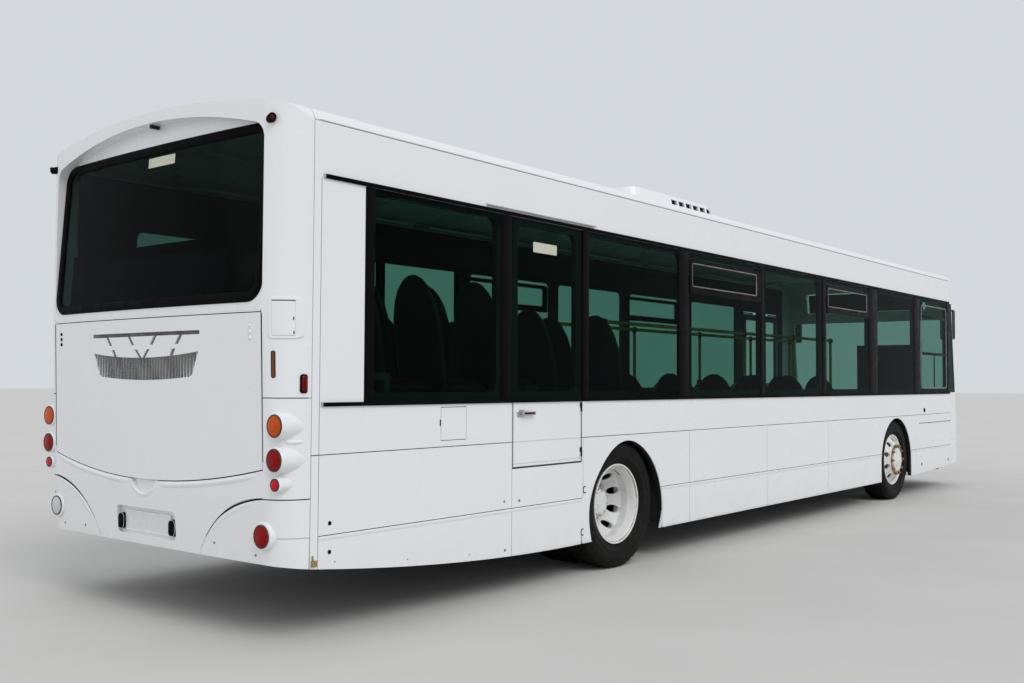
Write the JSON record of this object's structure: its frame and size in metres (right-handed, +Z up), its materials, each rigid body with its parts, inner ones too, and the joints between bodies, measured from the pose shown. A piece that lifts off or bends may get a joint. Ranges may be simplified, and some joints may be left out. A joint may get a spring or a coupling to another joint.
{
  "type": "city bus",
  "caption": "Low-floor single-deck city bus with a rear engine, gliding entrance doors, an emergency door, twin rear wheels and steered front wheels.",
  "frame": {"origin": "on the ground under the middle of the body", "axes": "+X forward, +Y left (the entrance side), +Z up"},
  "size_m": [11.96, 2.526, 3.0999],
  "materials": {
    "white_body": "gloss",
    "glazing": "tinted",
    "black_rubber": "satin",
    "tyre": "matt",
    "white_wheel": "gloss",
    "black_plastic": "textured",
    "lamp_lens": "clear lens",
    "seat_fabric": "moquette",
    "yellow_rail": "powder coat",
    "floor_sheet": "vinyl on ply",
    "chassis_steel": "underseal",
    "cast_metal": "cast",
    "grey_panel": "laminate"
  },
  "bodies": {
    "body": {"air_springs": "black_rubber", "cab_partition": "grey_panel", "chassis_frame": "chassis_steel", "dashboard": "black_plastic", "destination_glass": "glazing", "driver_seat": "seat_fabric", "engine_block": "cast_metal", "floor": "floor_sheet", "front_axle_beam": "cast_metal", "front_bumper": "white_body", "front_dome": "white_body", "front_panel": "white_body", "handrails": "yellow_rail", "headlamps": "lamp_lens", "hopper_frames": "black_plastic", "left_side_wall": "white_body", "left_windows": "glazing", "mirrors": "black_plastic", "rear_axle": "cast_metal", "rear_bumper_corners": "white_body", "rear_dome": "white_body", "rear_lamp_panels": "white_body", "rear_lamps": "lamp_lens", "rear_valance": "white_body", "rear_window": "glazing", "right_side_wall": "white_body", "right_windows": "glazing", "roof": "white_body", "roof_pod": "white_body", "seats": "seat_fabric", "underfloor_tanks": "chassis_steel", "wheel_boxes": "floor_sheet", "windscreen": "glazing"},
    "engine_door": {"engine_door": "white_body"},
    "emergency_door": {"emergency_door": "white_body", "emergency_door_glass": "glazing"},
    "fuel_flap": {"fuel_flap": "white_body"},
    "entrance_rear_arm": {"entrance_rear_arm": "chassis_steel"},
    "entrance_rear_leaf": {"entrance_rear_leaf": "black_plastic", "entrance_rear_glass": "glazing"},
    "entrance_front_arm": {"entrance_front_arm": "chassis_steel"},
    "entrance_front_leaf": {"entrance_front_leaf": "black_plastic", "entrance_front_glass": "glazing"},
    "right_knuckle": {"right_knuckle": "cast_metal"},
    "left_knuckle": {"left_knuckle": "cast_metal"},
    "steering_wheel": {"steering_wheel": "black_plastic"},
    "front_right_wheel": {"front_right_rim": "white_wheel", "front_right_tyre": "tyre"},
    "rear_right_wheels": {"rear_right_rims": "white_wheel", "rear_right_tyres": "tyre"},
    "front_left_wheel": {"front_left_rim": "white_wheel", "front_left_tyre": "tyre"},
    "rear_left_wheels": {"rear_left_rims": "white_wheel", "rear_left_tyres": "tyre"}
  },
  "joints": [
    {"name": "engine_door_hinge", "type": "hinge", "parent": "body", "child": "engine_door", "pos_m": [-5.981, 0, 1.77], "axis": [0, 1, 0], "range_deg": [0, 80]},
    {"name": "emergency_door_hinge", "type": "hinge", "parent": "body", "child": "emergency_door", "pos_m": [-3.238, -1.258, 1.5], "axis": [0, 0, 1], "range_deg": [0, 95]},
    {"name": "fuel_flap_hinge", "type": "hinge", "parent": "body", "child": "fuel_flap", "pos_m": [-4.49, -1.252, 1.142], "axis": [0, 0, 1], "range_deg": [0, 110]},
    {"name": "entrance_rear_swing", "type": "hinge", "parent": "body", "child": "entrance_rear_arm", "pos_m": [4.274, 1.225, 1.4], "axis": [0, 0, -1], "range_deg": [0, 85]},
    {"name": "entrance_rear_pivot", "type": "hinge", "parent": "entrance_rear_arm", "child": "entrance_rear_leaf", "pos_m": [4.5735, 1.225, 1.4], "axis": [0, 0, -1], "range_deg": [-170, 0]},
    {"name": "entrance_front_swing", "type": "hinge", "parent": "body", "child": "entrance_front_arm", "pos_m": [5.426, 1.225, 1.4], "axis": [0, 0, 1], "range_deg": [0, 85]},
    {"name": "entrance_front_pivot", "type": "hinge", "parent": "entrance_front_arm", "child": "entrance_front_leaf", "pos_m": [5.1265, 1.225, 1.4], "axis": [0, 0, 1], "range_deg": [-170, 0]},
    {"name": "right_steer", "type": "hinge", "parent": "body", "child": "right_knuckle", "pos_m": [3.386, -0.96, 0.4785], "axis": [0, 0, 1], "range_deg": [-40, 40]},
    {"name": "left_steer", "type": "hinge", "parent": "body", "child": "left_knuckle", "pos_m": [3.386, 0.96, 0.4785], "axis": [0, 0, 1], "range_deg": [-40, 40]},
    {"name": "steering_wheel_turn", "type": "hinge", "parent": "body", "child": "steering_wheel", "pos_m": [5, -0.83, 1.24], "axis": [-0.4191, 0, 0.908], "range_deg": [-480, 480]},
    {"name": "front_right_roll", "type": "hinge", "parent": "right_knuckle", "child": "front_right_wheel", "pos_m": [3.386, -1.087, 0.4785], "axis": [0, 1, 0], "continuous": true},
    {"name": "rear_right_roll", "type": "hinge", "parent": "body", "child": "rear_right_wheels", "pos_m": [-2.694, -1.087, 0.4785], "axis": [0, 1, 0], "continuous": true},
    {"name": "front_left_roll", "type": "hinge", "parent": "left_knuckle", "child": "front_left_wheel", "pos_m": [3.386, 1.087, 0.4785], "axis": [0, 1, 0], "continuous": true},
    {"name": "rear_left_roll", "type": "hinge", "parent": "body", "child": "rear_left_wheels", "pos_m": [-2.694, 1.087, 0.4785], "axis": [0, 1, 0], "continuous": true}
  ],
  "couplings": [
    {"joint": "entrance_rear_pivot", "follows": "entrance_rear_swing", "ratio": -2},
    {"joint": "entrance_front_swing", "follows": "entrance_rear_swing", "ratio": 1},
    {"joint": "entrance_front_pivot", "follows": "entrance_rear_swing", "ratio": -2},
    {"joint": "left_steer", "follows": "right_steer", "ratio": 1},
    {"joint": "steering_wheel_turn", "follows": "right_steer", "ratio": 12}
  ]
}
